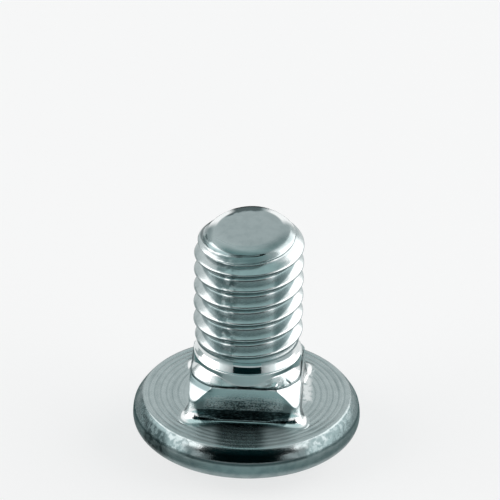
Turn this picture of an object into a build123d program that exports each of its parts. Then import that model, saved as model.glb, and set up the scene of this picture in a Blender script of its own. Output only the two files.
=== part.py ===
from build123d import *
import math
import os

# A square-neck screw with a low round head, M6 x 10, cold headed and thread rolled in one piece.
# Millimetres. The origin is the centre of the flat bearing face under the head. +Z runs along
# the shank to the tip, so the screw stands on the flat in the middle of its crown.

# Head
head_diameter = 12.2
head_height = 2.8          # from the bearing face to the flat in the middle of the crown
dome_height = 3.025        # how high the crown would peak without that flat
rim_drop = 1.2             # how far under the bearing face the rim is widest
rim_radius = 0.668         # where the rim turns under into the crown
rim_swell = 0.05           # how far the rim swells past the foot of the bevel
bevel_width = 0.53         # from the bearing face out to the rim
bevel_drop = 0.68          # height of the bevel
bevel_bulge = 0.03         # how far the bevel bows out of a straight cone
bearing_edge_radius = 0.1
bevel_edge_radius = 0.3

# Square neck, which keeps the screw from turning in a square hole
neck_width = 5.95          # across the flats
neck_height = 2.06
neck_turn = -3.0           # degrees about Z, as the neck sits on this screw
neck_edge_radius = 0.45
neck_base_radius = 0.25
corner_cut_depth = 0.65    # how much of each sharp corner is cut off at the top of the neck
corner_cut_taper = 23.5    # degrees from the axis

# Collar on the neck, flat over the flats and flared out towards the cut corners
collar_diameter = 5.76
collar_step = 0.075        # how far its flats stand back from those of the neck
collar_height = 0.78
flare_height = 0.5

# Shank: a waist over the collar, then a short plain run as thick as the wire
waist_diameter = 5.24
waist_rise = 0.38          # height of the hollow curve from the collar in to the waist
wire_diameter = 5.48
plain_length = 0.16

# Thread: ISO metric M6 coarse, right hand
crest_diameter = 5.85
thread_pitch = 1.0
thread_depth = 0.54
crest_width = 0.125
flank_angle = 30.0         # degrees from a plane across the axis
thread_lead = 0.35         # how far under the first roots the helix sets out, on the +X side
run_out_length = 0.8       # height over which the crests reach their full diameter
run_out_taper = 16.0       # degrees from the axis at which the crests grow
root_run_in = 0.5          # height over which the roots sink from the wire to full depth
root_overlap = 0.08        # how deep the ridge is set into the core that carries it

# Tip
tip_height = 10.35         # the middle of the domed end, above the bearing face
tip_dome = 0.18            # how far the end domes up
tip_diameter = 4.5         # the domed end inside the chamfer
tip_chamfer = 45.0         # degrees from the axis
tip_edge_radius = 0.15

head_radius = head_diameter / 2
bearing_radius = head_radius - rim_swell - bevel_width
neck_corner = neck_width / math.sqrt(2)
collar_radius = collar_diameter / 2
collar_top = neck_height + collar_height
waist_radius = waist_diameter / 2
waist_height = collar_top + waist_rise
wire_radius = wire_diameter / 2
lip_height = waist_height + wire_radius - waist_radius
plain_end = lip_height + plain_length
crest_radius = crest_diameter / 2
root_radius = crest_radius - thread_depth
thread_start = plain_end - thread_lead
run_out_end = plain_end + run_out_length
tip_radius = tip_diameter / 2
tip_edge = tip_height - tip_dome


def slope(degrees):
    return math.tan(math.radians(degrees))


def on_circle(centre, radius, degrees):
    angle = math.radians(degrees)
    return (centre[0] + radius * math.cos(angle), centre[1] + radius * math.sin(angle))


def turned(*edges):
    """A solid of revolution about Z, from a closed outline drawn in (radius, height)."""
    return revolve(Plane.XZ * make_face(Curve() + list(edges)), Axis.Z)


def turned_outline(*corners):
    """A solid of revolution about Z, from the corners of a straight-sided outline."""
    return turned(Polyline(*corners, close=True))


def make_head():
    """The low round head: a flat ring, a bevel, a rim that turns under, and a wide crown."""
    # The rim's arc is upright where the head is widest and runs smoothly into the crown's dome.
    rise = dome_height - rim_drop
    across = head_radius - rim_radius
    crown_radius = (across**2 + rise**2 - rim_radius**2) / (2 * (rise - rim_radius))
    crown_centre = (0, crown_radius - dome_height)
    crown_flat = (math.sqrt(crown_radius**2 - (crown_centre[1] + head_height) ** 2), -head_height)
    flat_angle = math.degrees(math.atan2(crown_flat[1] - crown_centre[1], crown_flat[0]))
    rim_centre = (across, -rim_drop)
    crown_end = math.degrees(math.atan2(rim_centre[1] - crown_centre[1], across))
    crown_edge = on_circle(rim_centre, rim_radius, crown_end)

    # The swell between the bevel and the widest place is an arc too, upright at its foot.
    swell_height = rim_drop - bevel_drop
    swell_radius = (rim_swell**2 + swell_height**2) / (2 * rim_swell)
    swell_centre = (head_radius - swell_radius, -rim_drop)
    swell_angle = math.degrees(math.asin(swell_height / swell_radius))

    bearing_edge = (bearing_radius, 0)
    bevel_foot = (bearing_radius + bevel_width, -bevel_drop)
    bevel_length = math.hypot(bevel_width, bevel_drop)
    bevel_middle = (
        bearing_radius + bevel_width / 2 + bevel_bulge * bevel_drop / bevel_length,
        -bevel_drop / 2 + bevel_bulge * bevel_width / bevel_length,
    )
    widest = (head_radius, -rim_drop)
    head = turned(
        Line((0, 0), bearing_edge),
        ThreePointArc(bearing_edge, bevel_middle, bevel_foot),
        ThreePointArc(bevel_foot, on_circle(swell_centre, swell_radius, swell_angle / 2), widest),
        ThreePointArc(widest, on_circle(rim_centre, rim_radius, crown_end / 2), crown_edge),
        ThreePointArc(
            crown_edge,
            on_circle(crown_centre, crown_radius, (crown_end + flat_angle) / 2),
            crown_flat,
        ),
        Polyline(crown_flat, (0, -head_height), (0, 0)),
    )
    bearing_rim = head.edges().filter_by(GeomType.CIRCLE).group_by(Axis.Z)[-1]
    head = fillet(bearing_rim, bearing_edge_radius)
    bevel_rim = [
        edge
        for edge in head.edges().filter_by(GeomType.CIRCLE)
        if math.isclose(edge.center().Z, -bevel_drop, abs_tol=0.01)
    ]
    return fillet(bevel_rim, bevel_edge_radius)


def make_neck():
    """The square neck with its corners cut back at the top, and the collar that stands on it."""
    block = extrude(Rectangle(neck_width, neck_width), neck_height)
    block = fillet(block.edges().filter_by(Axis.Z), neck_edge_radius)
    cut_radius = neck_corner - corner_cut_depth
    block &= turned_outline(
        (0, 0),
        (cut_radius + neck_height * slope(corner_cut_taper), 0),
        (cut_radius, neck_height),
        (0, neck_height),
    )

    # The hollow over the collar is an arc that is upright at the waist.
    narrowing = collar_radius - waist_radius
    hollow_radius = (narrowing**2 + waist_rise**2) / (2 * narrowing)
    hollow_centre = (waist_radius + hollow_radius, waist_height)
    hollow_angle = math.degrees(math.asin(waist_rise / hollow_radius))
    collar = turned(
        Polyline(
            (0, waist_height),
            (0, 0),
            (cut_radius, 0),
            (cut_radius, neck_height),
            (collar_radius, neck_height + flare_height),
            (collar_radius, collar_top),
        ),
        ThreePointArc(
            (collar_radius, collar_top),
            on_circle(hollow_centre, hollow_radius, 180 + hollow_angle / 2),
            (waist_radius, waist_height),
        ),
        Line((waist_radius, waist_height), (0, waist_height)),
    )
    collar_width = neck_width - 2 * collar_step
    collar &= extrude(Rectangle(collar_width, collar_width), waist_height)
    return Rot(0, 0, neck_turn) * (block + collar)


def make_shank():
    """The waist, the plain run, the core of the thread and the chamfered tip with its domed end."""
    tip_corner = (tip_radius, tip_edge)
    dome_radius = (tip_radius**2 + tip_dome**2) / (2 * tip_dome)
    dome_centre = (0, tip_height - dome_radius)
    dome_angle = math.degrees(math.acos(tip_radius / dome_radius))
    shank = turned(
        Polyline(
            (0, tip_height),
            (0, 0),
            (waist_radius, 0),
            (waist_radius, waist_height),
            (wire_radius, lip_height),
            (wire_radius, plain_end),
            (root_radius, plain_end + root_run_in),
            (root_radius, tip_edge - (root_radius - tip_radius) / slope(tip_chamfer)),
            tip_corner,
        ),
        ThreePointArc(
            tip_corner,
            on_circle(dome_centre, dome_radius, (dome_angle + 90) / 2),
            (0, tip_height),
        ),
    )
    tip_rim = shank.edges().filter_by_position(Axis.Z, tip_edge - 0.001, tip_edge + 0.001)
    return fillet(tip_rim, tip_edge_radius)


def make_ridge():
    """The ridge of the thread, grown out of the shank at one end and chamfered at the tip."""
    base = root_radius - root_overlap
    top = crest_radius + root_overlap
    half_crest = crest_width / 2
    half_base = half_crest + (crest_radius - base) * slope(flank_angle)
    half_top = half_crest - (top - crest_radius) * slope(flank_angle)
    section = Plane.XZ * make_face(
        Polyline(
            (base, thread_start - half_base),
            (top, thread_start - half_top),
            (top, thread_start + half_top),
            (base, thread_start + half_base),
            close=True,
        )
    )
    turns = math.ceil((tip_height - thread_start) / thread_pitch)
    helix = [
        Helix(thread_pitch, thread_pitch, base, center=(0, 0, thread_start + turn * thread_pitch))
        for turn in range(turns)
    ]
    ridge = sweep(section, path=Wire(Curve() + helix), is_frenet=True)
    low = thread_start - thread_pitch
    envelope = turned_outline(
        (0, low),
        (crest_radius - (run_out_end - low) * slope(run_out_taper), low),
        (crest_radius, run_out_end),
        (crest_radius, tip_edge - (crest_radius - tip_radius) / slope(tip_chamfer)),
        (tip_radius, tip_edge),
        (0, tip_edge),
    )
    return ridge & envelope


def make_screw():
    """The whole screw in one piece, with a small fillet where the neck meets the head."""
    screw = make_head() + make_neck()
    bearing_edges = screw.edges().filter_by_position(Axis.Z, -0.001, 0.001)
    neck_foot = bearing_edges.sort_by(SortBy.LENGTH)[:-1]
    screw = fillet(neck_foot, neck_base_radius)
    return screw + (make_shank() + make_ridge())


os.makedirs("parts", exist_ok=True)
export_step(make_screw(), "parts/screw.step")
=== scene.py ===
import math

import bpy
from mathutils import Matrix, Vector


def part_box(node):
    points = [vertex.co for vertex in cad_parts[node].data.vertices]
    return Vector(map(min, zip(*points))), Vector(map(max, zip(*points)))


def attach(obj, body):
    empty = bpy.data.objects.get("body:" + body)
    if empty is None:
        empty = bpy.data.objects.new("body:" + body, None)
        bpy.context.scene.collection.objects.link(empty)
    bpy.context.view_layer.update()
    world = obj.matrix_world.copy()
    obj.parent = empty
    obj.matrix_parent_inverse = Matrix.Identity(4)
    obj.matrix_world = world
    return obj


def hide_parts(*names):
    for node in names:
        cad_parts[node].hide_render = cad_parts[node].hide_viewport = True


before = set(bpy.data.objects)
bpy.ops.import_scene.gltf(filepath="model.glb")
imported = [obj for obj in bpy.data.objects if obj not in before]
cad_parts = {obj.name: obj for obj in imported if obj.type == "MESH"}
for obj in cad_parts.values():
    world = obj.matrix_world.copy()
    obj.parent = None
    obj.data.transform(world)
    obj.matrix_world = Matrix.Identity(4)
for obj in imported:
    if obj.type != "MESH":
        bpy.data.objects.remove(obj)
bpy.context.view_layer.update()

MM = 0.001
DEGREE = math.pi / 180
FULL_TURN = 2 * math.pi
EIGHTH_TURN = math.pi / 4

# Sizes of the screw, in millimetres and degrees, from the middle of the bearing face under the
# head. The mesh is made in millimetres and scaled to metres at the end.
SIZES = {
    # Head
    "Head radius": 6.1,
    "Head height": 2.8,
    "Crown radius": 14.0,
    "Crown flat radius": 2.5,
    "Rim drop": 1.2,
    "Rim swell": 0.05,
    "Bevel drop": 0.68,
    "Bearing radius": 5.52,
    "Ring mark radius": 4.0,
    "Ring mark spacing": 0.315,
    "Ring mark depth": 0.03,
    # Square neck
    "Neck half width": 2.975,
    "Neck turn": -3.0,
    "Neck edge radius": 0.5,
    "Neck edge wear": 0.1,
    "Neck height": 2.06,
    "Neck base radius": 0.18,
    "Corner base radius": 0.68,
    "Corner base stretch": 0.32,
    "Corner cut radius": 3.4,
    "Corner cut slope": 1.75,
    # Collar and waist
    "Collar step": 0.075,
    "Collar groove": 0.05,
    "Groove height": 0.07,
    "Lump height": 0.07,
    "Lump hollow": 0.01,
    "Collar radius": 2.88,
    "Collar top": 2.84,
    "Flare height": 0.5,
    "Hollow radius": 2.77,
    "Hollow height": 2.92,
    "Waist radius": 2.56,
    "Waist height": 3.42,
    "Wire radius": 2.74,
    "Lip height": 3.52,
    # Thread
    "Thread pitch": 1.0,
    "Crest height at front": 3.96,
    "Crest radius": 2.925,
    "Root radius": 2.41,
    "Crest half width": 0.06,
    "Crest rounding": 0.11,
    "Root rounding": 0.04,
    "Flank angle": 36.0,
    "Roots begin": 3.6,
    "Run-out height": 0.45,
    "Unfilled from": 9.3,
    "Unfilled to": 9.55,
    "Fold depth": 0.05,
    # Tip
    "Tip edge": 9.97,
    "Tip radius": 2.3,
    "Tip rounding radius": 1.84,
    "Tip rounding stretch": 0.34,
    "Tip rounding height": 10.157,
    "Tip height": 10.273,
    "Tip tilt back": 4.0,
    "Tip tilt right": 3.2,
    "Unevenness": 0.012,
}
# The mesh: rows of faces from the middle of the crown to that of the tip, and columns round it.
ROWS = 370
COLUMNS = 268
MERGE_DISTANCE = 0.0005

# The zinc from nearly black, for specks and painted shade, through a darker grey, for wear and
# painted shade, to nearly white, for painted highlights, and how deep its bump is, in metres.
SPECK_AND_SHADE_BLACK = (0.008, 0.02, 0.022, 1.0)
DULL_AND_SHADED_ZINC = (0.12, 0.175, 0.18, 1.0)
PLAIN_ZINC = (0.37, 0.44, 0.445, 1.0)
PAINTED_HIGHLIGHT_ZINC = (0.9, 0.93, 0.93, 1.0)
BUMP_DEPTH = 0.004 * MM

WHITE = (1.0, 1.0, 1.0, 1.0)


class Field:
    """A node socket with arithmetic: a formula in Python adds its own Math nodes to the tree."""

    def __init__(self, tree, socket=None):
        self.tree, self.socket = tree, socket

    def node(self, kind, inputs=None, output=0, **settings):
        """Adds any node: its settings come first, then the values or links of its sockets."""
        made = self.tree.nodes.new(kind)
        for name, value in settings.items():
            setattr(made, name, value)
        for name, value in (inputs or {}).items():
            if isinstance(value, Field):
                self.tree.links.new(value.socket, made.inputs[name])
            else:
                made.inputs[name].default_value = value
        return Field(self.tree, made.outputs[output] if len(made.outputs) else None)

    def output(self, name):
        return Field(self.tree, self.socket.node.outputs[name])

    def value(self, number):
        """A plain number as a field."""
        made = self.node("ShaderNodeValue")
        made.socket.default_value = number
        return made

    def math(self, operation, *values):
        return self.node("ShaderNodeMath", dict(enumerate(values)), operation=operation)

    def __add__(self, other):
        return self.math("ADD", self, other)

    __radd__ = __add__

    def __sub__(self, other):
        return self.math("SUBTRACT", self, other)

    def __rsub__(self, other):
        return self.math("SUBTRACT", other, self)

    def __mul__(self, other):
        return self.math("MULTIPLY", self, other)

    __rmul__ = __mul__

    def __truediv__(self, other):
        return self.math("DIVIDE", self, other)

    def __rtruediv__(self, other):
        return self.math("DIVIDE", other, self)

    def __neg__(self):
        return self * -1

    def sin(self):
        return self.math("SINE", self)

    def cos(self):
        return self.math("COSINE", self)

    def tan(self):
        return self.math("TANGENT", self)

    def arctan2(self, other):
        return self.math("ARCTAN2", self, other)

    def sqrt(self):
        return self.math("SQRT", self)

    def square(self):
        return self * self

    def absolute(self):
        return self.math("ABSOLUTE", self)

    def fraction(self):
        return self.math("FRACT", self)

    def pingpong(self, top):
        """Runs up to top and back down to 0, over and over."""
        return self.math("PINGPONG", self, top)

    def least(self, other):
        return self.math("MINIMUM", self, other)

    def most(self, other):
        return self.math("MAXIMUM", self, other)

    def soft_least(self, other, blend):
        return self.math("SMOOTH_MIN", self, other, blend)

    def soft_most(self, other, blend):
        return self.math("SMOOTH_MAX", self, other, blend)

    def above(self, other):
        return self.math("GREATER_THAN", self, other)

    def share(self, low, high):
        """0 below low, 1 above high, and straight between them."""
        return self.node("ShaderNodeMapRange", {"Value": self, "From Min": low, "From Max": high})

    def ramp(self, low, high):
        """0 below low, 1 above high, and smooth between them."""
        return self.node(
            "ShaderNodeMapRange",
            {"Value": self, "From Min": low, "From Max": high},
            interpolation_type="SMOOTHSTEP",
        )

    def fall(self, low, high):
        """1 below low, 0 above high, and smooth between them."""
        return 1 - self.ramp(low, high)

    def band(self, start, full, fading, end):
        """1 from full to fading, 0 before start and after end, and smooth between them."""
        return self.ramp(start, full) * self.fall(fading, end)

    def mix(self, first, second):
        """The first colour where this is 0, the second where it is 1."""
        factor, colour_a, colour_b, result = 0, 6, 7, 2
        return self.node(
            "ShaderNodeMix",
            {factor: self, colour_a: first, colour_b: second},
            output=result,
            data_type="RGBA",
        )


class Outline:
    """The outline of the screw in (radius, height), drawn step by step over the mesh's rows."""

    def __init__(self, row, start):
        self.row, self.rows = row, 0
        self.end = self.point = start

    def part(self, rows):
        """How far a row is through the next rows, from 0 to 1."""
        first, self.rows = self.rows, self.rows + rows
        return self.row.share(first, self.rows)

    def since(self, first):
        """1 on the rows drawn after an earlier one, 0 on the others."""
        return self.row.above(first) * (1 - self.row.above(self.rows))

    def move(self, steps, end):
        self.point = tuple(p + s for p, s in zip(self.point, steps))
        self.end = end

    def line(self, rows, end):
        through = self.part(rows)
        self.move([through * (e - s) for s, e in zip(self.end, end)], end)

    def bend(self, rows, corner, end):
        """A soft bend that leaves towards the corner and comes in from it."""
        through = self.part(rows)
        pull, reach = 2 * through * (1 - through), through.square()
        self.move(
            [pull * (c - s) + reach * (e - s) for s, c, e in zip(self.end, corner, end)], end
        )

    def arc(self, rows, centre, radius, first, last):
        """A round arc, by the angles at its two ends."""
        angle = first + self.part(rows) * (last - first)
        steps = [radius * (angle.cos() - first.cos()), radius * (angle.sin() - first.sin())]
        self.move(steps, (centre[0] + radius * last.cos(), centre[1] + radius * last.sin()))


def draw_head(outline, size):
    """The crown, the rim that turns up round it, and the bevel."""
    head, drop = size["Head radius"], size["Rim drop"]
    flat, crown = size["Crown flat radius"], size["Crown radius"]
    floor = -size["Head height"]
    crown_centre = (crown.square() - flat.square()).sqrt() + floor
    rise = crown_centre + drop
    # The rim's arc is upright where the head is widest and runs smoothly into the crown.
    rim = (crown.square() - head.square() - rise.square()) / (2 * (crown - head))
    rim_angle = -rise.arctan2(head - rim)
    flat_angle = -(crown_centre - floor).arctan2(flat)
    outline.line(4, (flat, floor))
    outline.arc(12, (0.0, crown_centre), crown, flat_angle, rim_angle)
    outline.arc(16, (head - rim, -drop), rim, rim_angle, rim.value(0.0))

    # Each end of the bevel is a soft bend, and the bevel bows out a little between them.
    bevel, bearing = size["Bevel drop"], size["Bearing radius"]
    foot = head - size["Rim swell"]
    swell_end = (foot + 0.012, -bevel - 0.12)
    bevel_foot = (foot - 0.062, -bevel + 0.095)
    bevel_middle = ((foot + bearing) / 2 + 0.03, -bevel / 2 + 0.05)
    bevel_top = (bearing + 0.07, -0.05)
    outline.bend(7, (head, -drop + 0.27), swell_end)
    outline.bend(6, (foot, -bevel), bevel_foot)
    outline.bend(12, bevel_middle, bevel_top)


def draw_ring(outline, size, inside):
    """The bearing ring, from its rounded edge in to the neck's fillet. Gives 1 on its rows."""
    bearing, round_until = size["Bearing radius"], 4.75
    first = outline.rows
    outline.bend(6, (bearing + 0.02, 0.0), (bearing - 0.1, 0.0))
    outline.line(28, (round_until, 0.0))
    outline.line(20, (inside, 0.0))
    return outline.since(first)


def neck_wall(size, angle, neck_angle):
    """The distance from the axis to the wall of the square neck, whose edges are rounded."""
    half = size["Neck half width"]
    # The edges on the left are worn rounder than those on the right.
    edge = size["Neck edge radius"] - size["Neck edge wear"] * angle.cos()
    corner = (half - edge) * math.sqrt(2)
    aside = EIGHTH_TURN - neck_angle
    flat_side = half / neck_angle.cos()
    across_edge = (edge.square() - (corner * aside.sin()).square()).most(0.0).sqrt()
    round_edge = corner * aside.cos() + across_edge
    edge_start = (half - edge).arctan2(half)
    return flat_side + neck_angle.above(edge_start) * (round_edge - flat_side)


def draw_neck(outline, size, neck, fillet_top):
    """The fillet at the neck's foot, its flats, the cuts of its corners and its shoulder."""
    outline.bend(9, (neck, 0.0), (neck, fillet_top))
    top, cut = size["Neck height"], size["Corner cut radius"]
    edge = 0.05
    # The shoulder ends just inside the wall over the flats, and at the cut over the corners.
    shoulder = (neck - 0.02).soft_least(cut, 0.03)
    cut_foot = top - size["Corner cut slope"] * (neck - cut)
    wall_top = (top - edge).soft_least(cut_foot, 0.12)
    outline.line(13, (neck, wall_top - edge))
    # The bend between the wall and a cut takes up this share of the cut.
    bent = 0.12
    bend_end = (neck + bent * (shoulder - neck), wall_top + bent * (top - wall_top))
    outline.bend(6, (neck, wall_top), bend_end)
    outline.line(7, (shoulder, top))


def draw_collar(outline, size, neck_angle):
    """A thin groove, the collar that flares out to the neck's corners, and the hollow waist.

    Gives 1 on the rows at the foot of the collar, where metal was upset into lumps.
    """
    top, groove_top = size["Neck height"], size["Groove height"]
    flat_foot = size["Neck half width"] - size["Collar step"]
    corner_foot = size["Corner cut radius"] - 0.03
    foot = flat_foot + (corner_foot - flat_foot) * neck_angle.ramp(0.0, 0.72)
    groove = foot - size["Collar groove"]
    outline.line(3, (groove, top))
    outline.line(2, (groove, top + 0.03))
    outline.line(3, (foot, top + groove_top))
    over_groove = outline.rows
    lumpy = outline.row.share(over_groove - 4, over_groove)
    lumpy = lumpy * (1 - outline.row.share(over_groove + 2, over_groove + 9))

    collar, collar_top = size["Collar radius"], size["Collar top"]
    flare = groove_top + (size["Flare height"] - groove_top) * (foot - collar).ramp(0.0, 0.5)
    outline.line(14, (collar, top + flare))
    outline.line(6, (collar, collar_top - 0.05))
    outline.bend(4, (collar, collar_top), (collar - 0.06, collar_top + 0.02))

    hollow, hollow_height = size["Hollow radius"], size["Hollow height"]
    waist, waist_height = size["Waist radius"], size["Waist height"]
    wire, lip = size["Wire radius"], size["Lip height"]
    outline.line(3, (hollow, hollow_height))
    outline.line(6, (hollow - 0.15, hollow_height + 0.22))
    outline.bend(5, (waist, waist_height - 0.14), (waist, waist_height))
    outline.bend(5, (wire - 0.03, lip - 0.08), (wire, lip))
    return lumpy


def thread_surface(size, angle, height):
    """The distance from the axis to the thread: crests, flanks and roots, grown from the wire."""
    crest, root, wire = size["Crest radius"], size["Root radius"], size["Wire radius"]
    pitch, start = size["Thread pitch"], size["Roots begin"]
    along = (height - size["Crest height at front"]) / pitch - (angle / FULL_TURN + 0.25)
    from_crest = along.pingpong(0.5) * pitch
    # The last crest under the tip wasn't filled by the rolls: a fold runs along it.
    unfilled = height.ramp(size["Unfilled from"], size["Unfilled to"])
    from_edge = from_crest - size["Crest half width"] - 0.03 * unfilled
    depth = crest - root
    sunk = from_edge / (size["Flank angle"] * DEGREE).tan()
    sunk = sunk.soft_least(depth, size["Root rounding"])
    sunk = sunk.soft_most(0.0, size["Crest rounding"]) / depth
    run_out_end = start + size["Run-out height"]
    upper = wire + (crest - wire) * height.ramp(start - 0.1, run_out_end)
    lower = wire + (root - wire) * height.ramp(start - 0.05, run_out_end)
    chamfer = size["Tip radius"] + (size["Tip edge"] - height)
    thread = (upper - (upper - lower) * sunk).soft_least(chamfer, 0.06)
    return thread - size["Fold depth"] * unfilled * from_crest.fall(0.01, 0.06)


def draw_shank(outline, size, angle):
    """The shank with its thread, whose rows stand evenly up the screw."""
    tip, tip_edge, wire = size["Tip radius"], size["Tip edge"], size["Wire radius"]
    first = outline.rows
    outline.line(148, (wire, tip_edge))
    radius, height = outline.point
    radius = radius + outline.since(first) * (thread_surface(size, angle, height) - radius)
    # The shank's rows end at the radius of the wire, so the rest steps over to that of the tip.
    outline.point = (radius + outline.row.above(outline.rows) * (tip - wire), height)
    outline.end = (tip, tip_edge)


def draw_tip(outline, size, angle):
    """The end, whose flat reaches further out at the back, where the chamfer is all but gone."""
    tip, tip_edge, tip_height = size["Tip radius"], size["Tip edge"], size["Tip height"]
    rounding = size["Tip rounding radius"] + size["Tip rounding stretch"] * angle.sin().most(0.0)
    chamfer_top = (tip - 0.12, tip_edge + 0.16)
    outline.bend(10, chamfer_top, (rounding, size["Tip rounding height"]))
    outline.bend(15, (0.55 * rounding, tip_height), (0.0, tip_height))


def screw_tree():
    """The geometry of the whole screw: a grid of rows and columns wrapped round its axis."""
    tree = bpy.data.node_groups.new("square_neck_screw", "GeometryNodeTree")
    tree.interface.new_socket("Geometry", in_out="OUTPUT", socket_type="NodeSocketGeometry")
    for name in SIZES:
        tree.interface.new_socket(name, in_out="INPUT", socket_type="NodeSocketFloat")
    tree.interface.new_socket("Columns", in_out="INPUT", socket_type="NodeSocketInt")
    tree.interface.new_socket("Zinc", in_out="INPUT", socket_type="NodeSocketMaterial")
    entry = Field(tree).node("NodeGroupInput")
    size = {name: entry.output(name) for name in (*SIZES, "Columns", "Zinc")}

    grid = entry.node(
        "GeometryNodeMeshGrid",
        {"Size X": 1.0, "Size Y": 1.0, "Vertices X": ROWS + 1, "Vertices Y": size["Columns"]},
    )
    place = entry.node("GeometryNodeInputPosition")
    split = entry.node("ShaderNodeSeparateXYZ", {0: place})
    row = (split.output("X") + 0.5) * ROWS
    # Columns lie closer together at the four edges of the square neck.
    even = (split.output("Y") + 0.5) * FULL_TURN
    bunching = 0.125
    neck_turn = size["Neck turn"] * DEGREE
    angle = even - bunching * (4 * even).sin() + neck_turn + EIGHTH_TURN
    neck_angle = (angle - neck_turn).pingpong(EIGHTH_TURN)

    neck = neck_wall(size, angle, neck_angle)
    cornerwise = neck_angle.ramp(0.35, 0.7)
    corner_extra = size["Corner base radius"] - size["Neck base radius"]
    fillet = size["Neck base radius"] + cornerwise * corner_extra
    outline = Outline(row, (0.0, -size["Head height"]))
    draw_head(outline, size)
    on_ring = draw_ring(outline, size, neck + fillet)
    draw_neck(outline, size, neck, fillet * (1 + size["Corner base stretch"] * cornerwise))
    lumpy = draw_collar(outline, size, neck_angle)
    draw_shank(outline, size, angle)
    draw_tip(outline, size, angle)
    assert outline.rows == ROWS, outline.rows
    radius, height = outline.point

    # Marks of the turning tool on the bearing ring, half as deep in front of the neck.
    spacings = (radius - size["Ring mark radius"]) / size["Ring mark spacing"]
    mark = (spacings * FULL_TURN).cos() * 0.5 + 0.5
    fade = radius.band(3.5, 4.0, 5.35, 5.5) * (1 - 0.5 * (-angle.sin()).ramp(0.7, 0.95))
    height = height - size["Ring mark depth"] * mark * on_ring * fade

    # The end of the wire was cut a few degrees out of square.
    side, along_y = radius * angle.cos(), radius * angle.sin()
    tilt_right, tilt_back = (
        (size[name] * DEGREE).tan() for name in ("Tip tilt right", "Tip tilt back")
    )
    tilt_begins = size["Tip edge"] - 1.2
    tilted = side * tilt_right + along_y * tilt_back
    height = height + tilted * height.ramp(tilt_begins, size["Tip edge"])

    # Small lumps of upset metal over the groove at the foot of the collar, on one side.
    spot = entry.node("ShaderNodeCombineXYZ", {"X": side, "Y": along_y, "Z": height})
    lumps = entry.node("ShaderNodeTexNoise", {"Vector": spot, "Scale": 3.6, "Detail": 1.0})
    lump = lumps.ramp(0.5, 0.66) * size["Lump height"] - size["Lump hollow"]
    swell = 1 + lumpy * side.ramp(-0.2, 0.9) * lump / radius.most(1.0)
    side, along_y = side * swell, along_y * swell

    spot = entry.node("ShaderNodeCombineXYZ", {"X": side, "Y": along_y, "Z": height})
    wrapped = entry.node(
        "GeometryNodeSetPosition", {"Geometry": grid.output("Mesh"), "Position": spot}
    )
    closed = entry.node(
        "GeometryNodeMergeByDistance", {"Geometry": wrapped, "Distance": MERGE_DISTANCE}
    )
    outward = entry.node("GeometryNodeFlipFaces", {"Mesh": closed})
    # Cold forming leaves the skin slightly uneven; the hollows go in from the nominal surface.
    dents = entry.node("ShaderNodeTexNoise", {"Vector": place, "Scale": 1.1, "Detail": 2.0})
    inwards = entry.node(
        "ShaderNodeVectorMath",
        {0: entry.node("GeometryNodeInputNormal"), "Scale": -size["Unevenness"] * dents},
        operation="SCALE",
    )
    uneven = entry.node("GeometryNodeSetPosition", {"Geometry": outward, "Offset": inwards})
    scaled = entry.node("GeometryNodeTransform", {"Geometry": uneven, "Scale": (MM, MM, MM)})
    smooth = entry.node("GeometryNodeSetShadeSmooth", {"Geometry": scaled})
    real = entry.node("GeometryNodeRealizeInstances", {"Geometry": smooth})
    zinc = entry.node("GeometryNodeSetMaterial", {"Geometry": real, "Material": size["Zinc"]})
    entry.node("NodeGroupOutput", {"Geometry": zinc})
    return tree


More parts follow.
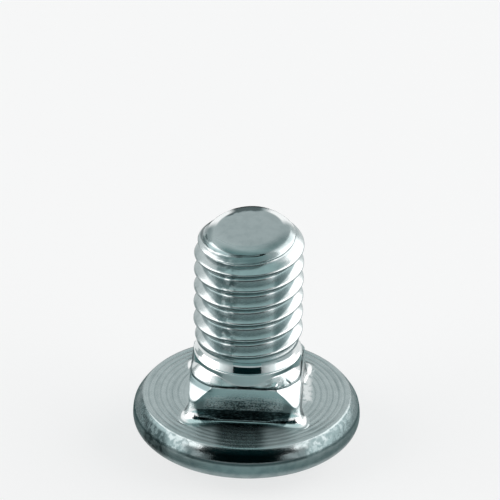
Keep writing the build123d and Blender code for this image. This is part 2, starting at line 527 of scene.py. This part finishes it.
class ZincCoat:
    """How the zinc looks at a place on the screw.

    Each part of the screw marks it: one amount turns the zinc a darker grey, for wear and for
    painted shade, one nearly black, for specks and painted shade, and one nearly white, as a
    painted highlight; rough blurs what it reflects, and relief is the height of its bump.
    Places are in millimetres from the axis and the bearing face: the rim is at a height of -1.2,
    the neck ends at 2.06, the collar at 2.84, the waist at 3.5 and the thread at 9.5.
    """

    def __init__(self, start):
        coordinates = start.node("ShaderNodeTexCoord").output("Object")
        self.spot = start.node(
            "ShaderNodeVectorMath", {0: coordinates, "Scale": 1 / MM}, operation="SCALE"
        )
        split = start.node("ShaderNodeSeparateXYZ", {0: self.spot})
        self.x, self.y, self.z = (split.output(axis) for axis in "XYZ")
        self.left, self.across = -self.x, self.x.absolute()
        self.radius = (self.x.square() + self.y.square()).sqrt()
        self.on_thread = self.z.band(3.45, 3.7, 9.5, 9.7)
        self.grain = self.noise(14.0)
        self.patches = self.noise(3.4, 3.0).ramp(0.42, 0.62)
        self.blotches = self.noise(2.2, 3.0).ramp(0.35, 0.7)
        self.amounts = {
            "dull": 0.12 * self.blotches,
            "soot": 0.0,
            "polish": 0.0,
            "rough": 0.09 + 0.07 * self.grain,
            "relief": 0.25 * self.grain,
        }

    def noise(self, scale, detail=2.0, stretch=(1.0, 1.0, 1.0)):
        stretched = self.spot.node(
            "ShaderNodeVectorMath", {0: self.spot, 1: stretch}, operation="MULTIPLY"
        )
        return self.spot.node(
            "ShaderNodeTexNoise", {"Vector": stretched, "Scale": scale, "Detail": detail}
        )

    def mark(self, where, **amounts):
        """Adds its amounts of grey, black, painted highlight, rough and relief where the mark is 1.
        """
        for name, amount in amounts.items():
            self.amounts[name] = self.amounts[name] + where * amount

    def head(self):
        """The rim and the bevel."""
        y, z, across, left, patches = self.y, self.z, self.across, self.left, self.patches
        # The rim is rough and bumpy, and painted shade darkens it in blotches, for the shaded floor
        # that it mirrors.
        rim = z.fall(-0.95, -0.6)
        self.mark(rim, dull=0.42 * (0.6 + 0.4 * self.blotches), rough=0.31, relief=1.6 * self.grain)
        # Painted shade darkens the bevel a little, more towards its sides and at the left, and away
        # from the front it is rough and bumpy in patches under more painted shade, and more on its
        # lower part.
        bevel = z.band(-0.95, -0.6, -0.12, -0.04)
        towards_sides = 0.3 * across.ramp(3.9, 5.0) + 0.4 * left.ramp(3.9, 4.5)
        self.mark(bevel, dull=0.12 + towards_sides, relief=0.5 * self.grain)
        patchy_shade = bevel * across.ramp(2.3, 3.6)
        self.mark(
            patchy_shade, dull=0.4 + 0.35 * patches, rough=0.14 + 0.12 * patches, relief=1.6 * patches
        )
        self.mark(bevel * z.fall(-0.5, -0.3) * across.ramp(1.6, 2.2), dull=0.3)
        # A painted dark reflection runs along the bevel's front, and painted shade darkens the rim
        # at the left, in patches.
        strip = z.band(-0.9, -0.78, -0.36, -0.2) * across.fall(3.0, 3.5) * y.fall(-4.6, -4.0)
        self.mark(strip, soot=0.85)
        left_rim = z.band(-1.7, -1.3, -0.3, -0.15) * left.band(4.0, 4.5, 5.3, 5.6)
        self.mark(left_rim * y.fall(-1.0, 0.0), soot=0.6 + 0.4 * patches)

    def bearing_ring(self):
        """The turned ring under the neck."""
        x, y, z, radius = self.x, self.y, self.z, self.radius
        ring = z.band(-0.09, -0.04, 0.04, 0.2) * radius.ramp(3.2, 3.6)
        circles = x.node("ShaderNodeCombineXYZ", {"X": radius * 9.0, "Y": x * 0.35, "Z": y * 0.35})
        turned = x.node("ShaderNodeTexNoise", {"Vector": circles, "Scale": 1.0, "Detail": 3.0})
        self.mark(ring, dull=0.25 * turned.ramp(0.5, 0.7), rough=0.15, relief=1.2 * turned)
        # The tool's marks show least in front of the neck, where the ring mirrors most sharply.
        spacings = (radius - SIZES["Ring mark radius"]) / SIZES["Ring mark spacing"]
        marks = (spacings * FULL_TURN).cos().ramp(0.2, 1.0)
        self.mark(ring * marks, dull=0.3 * (1 - 0.6 * (-y / radius).ramp(0.7, 0.95)))
        beside = x.ramp(0.5, 1.3) + self.left.ramp(1.2, 1.9)
        self.mark(ring * beside * y.fall(-3.7, -3.2), rough=0.28)

    def neck(self):
        """The flats, the corners and the foot of the square neck."""
        x, y, z, across, left, radius = self.x, self.y, self.z, self.across, self.left, self.radius
        self.mark(z.band(0.1, 0.3, 2.7, 2.8), rough=0.05)
        # Painted shade darkens the flats, with bumpy streaks, bright scratches round them, scuffs
        # and black specks.
        flats = radius.band(2.6, 2.8, 3.5, 3.75)
        shaded_flats = flats * z.band(0.0, 0.2, 1.3, 1.7)
        streaks = self.noise(1.0, 3.0, (1.1, 1.1, 11.0))
        self.mark(shaded_flats, dull=0.6, relief=2.4 * streaks)
        self.mark(shaded_flats * streaks.ramp(0.5, 0.6), dull=-0.45, rough=0.16)
        scuffs = self.noise(13.0, 4.0, (1.0, 1.0, 2.0)).ramp(0.4, 0.62)
        self.mark(flats * z.band(0.65, 0.8, 1.35, 1.75) * scuffs, dull=-0.4, rough=0.3)
        specks = self.noise(9.0, 3.0, (1.0, 1.0, 1.6)).ramp(0.5, 0.58)
        self.mark(shaded_flats * z.band(0.72, 0.84, 1.2, 1.45) * specks, soot=0.75)
        # Painted highlights lighten them towards their upright edges and at the top.
        edgewise = across.ramp(0.6, 1.8) + 0.6 * x.ramp(1.5, 2.0)
        self.mark(shaded_flats * z.ramp(0.78, 0.95) * edgewise, dull=-0.4, polish=0.3)
        upper_flat = radius.band(2.6, 2.8, 3.5, 3.7) * z.band(1.2, 1.5, 2.0, 2.05)
        self.mark(upper_flat * left.fall(1.6, 2.0), polish=0.25)
        # Painted shade makes their foot nearly black, in ragged patches, and a painted highlight
        # lies on the corners there.
        foot_of_flats = radius.band(2.6, 2.8, 3.84, 3.94) * z.band(0.0, 0.15, 0.66, 0.74)
        patchy_shade = self.noise(6.0, 3.0, (1.0, 1.0, 4.0)).ramp(0.38, 0.5)
        self.mark(foot_of_flats, dull=1.0, soot=patchy_shade)
        corner_foot = radius.band(3.86, 3.96, 4.6, 4.8) * z.band(0.0, 0.03, 0.8, 1.05)
        self.mark(corner_foot, polish=1.0)
        # On the right, a painted highlight lies in patches on the fillet at the foot of the neck.
        right_foot = x.band(2.95, 3.05, 3.35, 3.6) * y.band(-1.2, -0.4, 1.8, 2.4)
        self.mark(right_foot * z.fall(0.2, 0.4), polish=0.6 * self.noise(2.6).ramp(0.35, 0.55))
        # The shoulder over the left corner is darker.
        left_shoulder = left.ramp(1.7, 2.1) * y.fall(-1.2, -0.6) * z.band(1.72, 1.85, 2.04, 2.1)
        self.mark(left_shoulder, dull=1.1)

    def collar(self):
        """The groove at the collar's foot, the collar and the waist over it."""
        x, z, across = self.x, self.z, self.across
        # Painted shade darkens the groove in patches and blackens it in places.
        groove = z.band(2.0, 2.03, 2.12, 2.17) * self.radius.fall(3.1, 3.3)
        shaded, black = self.noise(5.0).ramp(0.3, 0.5), self.noise(4.0).ramp(0.38, 0.46)
        self.mark(groove, dull=1.1 * shaded, soot=black)
        galled = z.band(2.0, 2.06, 2.25, 2.5) * (0.5 + 0.5 * x.ramp(0.2, 0.9))
        self.mark(galled, dull=0.3 * self.patches, relief=self.patches)
        # Painted highlights lighten the collar and the waist at the sides, and the collar also in
        # the middle.
        sides = self.left.ramp(1.4, 1.9) + x.ramp(2.3, 2.5)
        self.mark(sides * z.band(2.14, 2.24, 3.45, 3.55), polish=0.7)
        wall = z.band(2.12, 2.2, 2.8, 2.86)
        self.mark(wall * across.fall(1.2, 2.0), polish=0.4)
        self.mark(wall * across.fall(0.9, 1.6), rough=0.24)
        # On the waist, the dark card shows as a short bar whose ends are blurred.
        bar_ends = z.band(2.82, 2.9, 3.3, 3.45) * across.band(0.7, 0.8, 1.4, 1.7)
        self.mark(bar_ends, rough=0.3)

    def thread(self):
        """The crests, flanks and roots of the thread."""
        x, y, z, across = self.x, self.y, self.z, self.across
        self.mark(z.band(3.3, 3.6, 9.6, 9.9), rough=0.13)
        turn = y.arctan2(x) / FULL_TURN + 0.25
        along = (z - SIZES["Crest height at front"]) / SIZES["Thread pitch"] - turn
        from_crest = (along + 0.5).fraction() - 0.5
        # Painted shade lies as a thin dark line under each crest, nearly black and darker towards
        # the sides, and a little on the roots.
        under_crest_shade = from_crest.band(-0.19, -0.12, -0.03, 0.02)
        roots = from_crest.absolute().ramp(0.36, 0.46)
        self.mark(z.band(3.45, 3.6, 9.7, 9.9), dull=0.9 * under_crest_shade + 0.15 * roots)
        deepest = 0.4 + 0.5 * across.ramp(0.4, 1.3)
        self.mark(z.band(3.45, 3.6, 9.5, 9.7) * under_crest_shade, soot=0.6 * deepest)
        # Left of the middle, the rolls left dull blotches on the thread.
        low_thread = self.on_thread * z.fall(8.6, 9.0)
        mottled = self.on_thread * x.band(-1.85, -1.5, -0.9, -0.4)
        mottled = mottled * self.noise(2.6, 3.0, (1.0, 1.0, 2.4)).ramp(0.42, 0.56)
        self.mark(mottled, dull=0.45 + 0.15 * low_thread)
        # At the sides painted shade darkens the flanks over the crests, and near the edges only
        # high up.
        upper_flank = (from_crest - 0.3 * across + 0.385).ramp(-0.06, 0.06)
        upper_flank = upper_flank * across.ramp(1.15, 1.6) * (1 + 0.25 * x.ramp(1.0, 2.0))
        self.mark(upper_flank, dull=0.2 * self.on_thread + 0.55 * low_thread)
        # Painted shade darkens the thread at the left.
        self.mark(self.on_thread * self.left.ramp(2.3, 2.8), dull=0.3)

    def tip(self):
        """The end face, the rounding round it and the chamfer."""
        x, y, z, across, left, radius = self.x, self.y, self.z, self.across, self.left, self.radius
        end_face = z.ramp(9.95, 10.12)
        self.mark(end_face, dull=0.28)
        around_end = z.ramp(9.85, 9.95) * radius.ramp(1.5, 2.0)
        self.mark(around_end, rough=0.12 + 0.16 * y.fall(-1.6, -0.4))
        # A painted highlight lightens the rounding at the back, to either side.
        rear_highlight = y.ramp(0.2, 0.9) * across.ramp(0.7, 1.2)
        self.mark(rear_highlight * z.ramp(9.9, 9.98) * radius.ramp(1.72, 1.86), polish=1.0)
        # Painted shade darkens it along its front right edge, at the left and on the chamfer in
        # front.
        front_right = x.ramp(0.2, 1.3) * y.fall(-1.0, 0.2) * z.ramp(9.9, 10.0)
        self.mark(around_end * front_right, dull=0.42)
        self.mark(z.ramp(9.7, 9.85) * left.ramp(1.85, 2.15), dull=0.7)
        chamfer = z.band(9.45, 9.6, 9.92, 10.0) * across.fall(1.2, 1.9) * y.fall(-2.0, -1.0)
        self.mark(chamfer, dull=0.5)
        # Along the back a painted dark reflection darkens it, with a ragged edge.
        ragged = (radius + 0.5 * self.noise(2.4)).ramp(1.85, 2.05)
        rear_dark_reflection = z.ramp(9.85, 9.95) * ragged * y.ramp(1.0, 1.4) * x.band(-1.5, -1.1, 0.4, 0.8)
        self.mark(rear_dark_reflection, dull=1.2, soot=0.7)

    def surface(self):
        """The shader, once every part has made its marks."""
        dull, soot, polish, rough, relief = self.amounts.values()
        # A painted highlight makes the thread a little brighter where it isn't darkened.
        polish = polish + 0.15 * self.on_thread * dull.fall(0.15, 0.6)
        colour = dull.least(1.0).most(0.0).mix(PLAIN_ZINC, DULL_AND_SHADED_ZINC)
        colour = (0.85 * soot.least(1.0)).mix(colour, SPECK_AND_SHADE_BLACK)
        colour = polish.mix(colour, PAINTED_HIGHLIGHT_ZINC)
        bump = relief.node(
            "ShaderNodeBump", {"Height": relief, "Strength": 1.0, "Distance": BUMP_DEPTH}
        )
        return relief.node(
            "ShaderNodeBsdfPrincipled",
            {"Base Color": colour, "Metallic": 1.0, "Roughness": rough, "Normal": bump},
        )


def zinc_material():
    """Zinc plating: teal-grey and bright, duller where it is worn, with painted shade and painted
    highlights.
    """
    material = bpy.data.materials.new("zinc_plated_steel")
    material.use_nodes = True
    material.node_tree.nodes.clear()
    coat = ZincCoat(Field(material.node_tree))
    coat.head()
    coat.bearing_ring()
    coat.neck()
    coat.collar()
    coat.thread()
    coat.tip()
    coat.spot.node("ShaderNodeOutputMaterial", {"Surface": coat.surface()})
    return material


def make_screw(zinc):
    """The screw as one plain mesh, from its geometry nodes."""
    tree = screw_tree()
    mesh = bpy.data.meshes.new("screw_seed")
    seed = bpy.data.objects.new("screw_seed", mesh)
    bpy.context.scene.collection.objects.link(seed)
    modifier = seed.modifiers.new("Screw", "NODES")
    modifier.node_group = tree
    sockets = {s.name: s.identifier for s in tree.interface.items_tree if s.in_out == "INPUT"}
    for name, value in {**SIZES, "Columns": COLUMNS, "Zinc": zinc}.items():
        modifier[sockets[name]] = value
    bpy.context.view_layer.update()
    graph = bpy.context.evaluated_depsgraph_get()
    mesh = bpy.data.meshes.new_from_object(seed.evaluated_get(graph))
    bpy.data.objects.remove(seed)
    screw = bpy.data.objects.new("zinc_plated_screw", mesh)
    bpy.context.scene.collection.objects.link(screw)
    return screw


# The studio, in metres.


def softbox(name, azimuth, elevation, width, height):
    """A soft lamp that looks at the screw from a direction; azimuth 0 is the camera's side."""
    distance, radiance, colour = 0.3, 2.4, (1.0, 0.87, 0.86)
    a, e = azimuth * DEGREE, elevation * DEGREE
    away = Vector((math.sin(a) * math.cos(e), -math.cos(a) * math.cos(e), math.sin(e)))
    data = bpy.data.lights.new(name, "AREA")
    data.shape = "RECTANGLE"
    data.size, data.size_y = width, height
    data.energy = radiance * math.pi * width * height
    data.color = colour
    obj = bpy.data.objects.new(name, data)
    obj.location = away * distance
    obj.rotation_euler = away.to_track_quat("Z", "Y").to_euler()
    obj.visible_camera = False
    bpy.context.scene.collection.objects.link(obj)


def plain(name, colour):
    """A matt paint of one colour."""
    material = bpy.data.materials.new(name)
    material.use_nodes = True
    sockets = material.node_tree.nodes["Principled BSDF"].inputs
    sockets["Base Color"].default_value = (*colour, 1.0)
    sockets["Roughness"].default_value = 0.9
    sockets["Specular IOR Level"].default_value = 0.0
    return material


def stage(name, points, material, seen=True, faces=None):
    """A flat stage piece through its corner points; the cards are only seen in the metal."""
    mesh = bpy.data.meshes.new(name)
    mesh.from_pydata(points, [], faces or [tuple(range(len(points)))])
    mesh.materials.append(material)
    obj = bpy.data.objects.new(name, mesh)
    obj.visible_camera = seen
    bpy.context.scene.collection.objects.link(obj)
    return obj


def looking(field):
    """1 for the rays of the camera and those that metal and glass send on, 0 for light."""
    rays = field.node("ShaderNodeLightPath")
    looks = [rays.output(f"Is {kind} Ray") for kind in ("Camera", "Glossy", "Transmission")]
    return looks[0].most(looks[1]).most(looks[2])


def make_floor(z):
    """A pale floor, of which a part is shown as plain white and the rest as it is lit."""
    reach, plain_white = 2.0, 0.7
    corners = [(-reach, -reach, z), (reach, -reach, z), (reach, reach, z), (-reach, reach, z)]
    floor = stage("floor", corners, plain("pale_floor", (0.85, 0.91, 0.92)))
    nodes = floor.data.materials[0].node_tree.nodes
    lit = Field(floor.data.materials[0].node_tree, nodes["Principled BSDF"].outputs[0])
    white = lit.node("ShaderNodeEmission", {"Color": WHITE, "Strength": 1.0})
    shown = lit.node("ShaderNodeMixShader", {0: plain_white * looking(lit), 1: lit, 2: white})
    lit.tree.links.new(shown.socket, nodes["Material Output"].inputs["Surface"])


def make_dark_card():
    """The dark card behind the camera, which is wider at the top than at the foot."""
    y, foot, top = -0.17, 0.125, 0.26
    half = [(foot, 0.045), (foot, 0.13), (top, 0.17), (top, 0.255)]
    corners = [(-x, y, z) for x, z in half] + [(x, y, z) for x, z in reversed(half)]
    stage("dark_card", corners, plain("dark_card", (0.001, 0.016, 0.018)), seen=False)


def make_left_card(z):
    """A grey card that stands on the floor at the left of the screw and behind it."""
    near, far, top = (-0.22, 0.09), (-0.14, 0.19), 0.05
    corners = [(*near, z), (*near, top), (*far, top), (*far, z)]
    stage("grey_card_left", corners, plain("grey_card", (0.4, 0.48, 0.48)), seen=False)


def make_floor_cards(z):
    """Cards on the floor round the head, in front of it and behind; only the metal shows them."""
    near, middle, far, wide, steps = 0.0069, 0.0128, 0.15, 0.20, 48
    rounds = [FULL_TURN * step / steps for step in range(steps)]
    points = [(r * math.cos(a), r * math.sin(a), z) for r in (near, middle) for a in rounds]
    faces = [(i, i + steps, (i + 1) % steps + steps, (i + 1) % steps) for i in range(steps)]
    # The grey ring is a painted shadow: the metal mirrors it as the floor in the head's shade.
    middle_grey, side_grey = (0.44, 0.64, 0.65), (0.08, 0.19, 0.19)
    grey = plain("near_grey", middle_grey)
    ring = stage("grey_ring", points, grey, seen=False, faces=faces)
    # Its painted shadow gets darker towards the sides.
    shade = Field(grey.node_tree)
    spot = shade.node("ShaderNodeTexCoord").output("Object")
    x = shade.node("ShaderNodeSeparateXYZ", {0: spot}).output("X") / MM
    aside = (-x).ramp(1.5, 6.0) + 0.65 * x.ramp(1.5, 6.0)
    shaded = aside.mix((*middle_grey, 1.0), (*side_grey, 1.0))
    paint = grey.node_tree.nodes["Principled BSDF"]
    shade.tree.links.new(shaded.socket, paint.inputs["Base Color"])

    front = stage(
        "front_card",
        [(-wide, -far, z), (wide, -far, z), (wide, -middle, z), (-wide, -middle, z)],
        plain("front_grey", (0.34, 0.56, 0.57)),
        seen=False,
    )
    # The card behind widens away from the screw and is turned up at its far end.
    left, right, back, top = -0.034, 0.024, 0.25, 0.075
    behind = stage(
        "dark_back_card",
        [
            (-0.009, 0.02, z),
            (0.007, 0.02, z),
            (right, back, z),
            (left, back, z),
            (left, back, top),
            (right, back, top),
        ],
        plain("dark_back", (0.004, 0.03, 0.03)),
        seen=False,
        faces=[(0, 1, 2, 3), (3, 2, 5, 4)],
    )
    # They lend the screw no light of their own and throw no shadow.
    for card in (ring, front, behind):
        card.visible_diffuse = False
        card.visible_shadow = False


def make_sky():
    """A white sky, greyer right overhead and half as strong for light as for what looks at it."""
    world = bpy.data.worlds.new("studio")
    bpy.context.scene.world = world
    world.use_nodes = True
    sky = Field(world.node_tree)
    direction = sky.node("ShaderNodeTexCoord").output("Generated")
    height = sky.node("ShaderNodeSeparateXYZ", {0: direction}).output("Z")
    overhead = height.ramp(0.77, 0.85).mix(WHITE, (0.5, 0.68, 0.68, 1.0))
    background = world.node_tree.nodes["Background"]
    world.node_tree.links.new(overhead.socket, background.inputs["Color"])
    strength = 0.5 + 0.5 * looking(sky)
    world.node_tree.links.new(strength.socket, background.inputs["Strength"])


def make_camera():
    """The camera, fitted to the photograph.

    Fitted were the direction it looks from, the scale in pixels per millimetre at the middle of
    the bearing face, and the pixel where that point is.
    """
    elevation, roll, distance = 31.8 * DEGREE, 1.0 * DEGREE, 0.3
    pixels_per_mm, image, point = 18.63, 500, (246.8, 392.7)
    data = bpy.data.cameras.new("camera")
    data.sensor_width = 36.0
    focal_pixels = pixels_per_mm * distance / MM
    data.lens = data.sensor_width * focal_pixels / image
    data.clip_start, data.clip_end = 0.01, 10.0
    back = Vector((0, -math.cos(elevation), math.sin(elevation)))
    level_up = Vector((0, math.sin(elevation), math.cos(elevation)))
    level_right = Vector((1, 0, 0))
    right = math.cos(roll) * level_right + math.sin(roll) * level_up
    up = math.cos(roll) * level_up - math.sin(roll) * level_right
    to_point = Vector((point[0] - image / 2, image / 2 - point[1], -focal_pixels)).normalized()
    aim = to_point.rotation_difference(Vector((0, 0, -1))).to_matrix()
    axes = Matrix((right, up, back)).transposed() @ aim
    camera = bpy.data.objects.new("camera", data)
    camera.matrix_world = Matrix.Translation(back * distance) @ axes.to_4x4()
    bpy.context.scene.collection.objects.link(camera)
    bpy.context.scene.camera = camera


screw = make_screw(zinc_material())
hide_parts("screw")
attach(screw, "root")

softbox("left_softbox", azimuth=-84, elevation=27, width=0.40, height=0.21)
softbox("right_softbox", azimuth=94, elevation=27, width=0.60, height=0.22)
floor_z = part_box("screw")[0][2]
make_floor(floor_z)
make_dark_card()
make_left_card(floor_z)
make_floor_cards(floor_z + 0.2 * MM)
make_sky()
make_camera()
bpy.context.scene.view_settings.view_transform = "Standard"
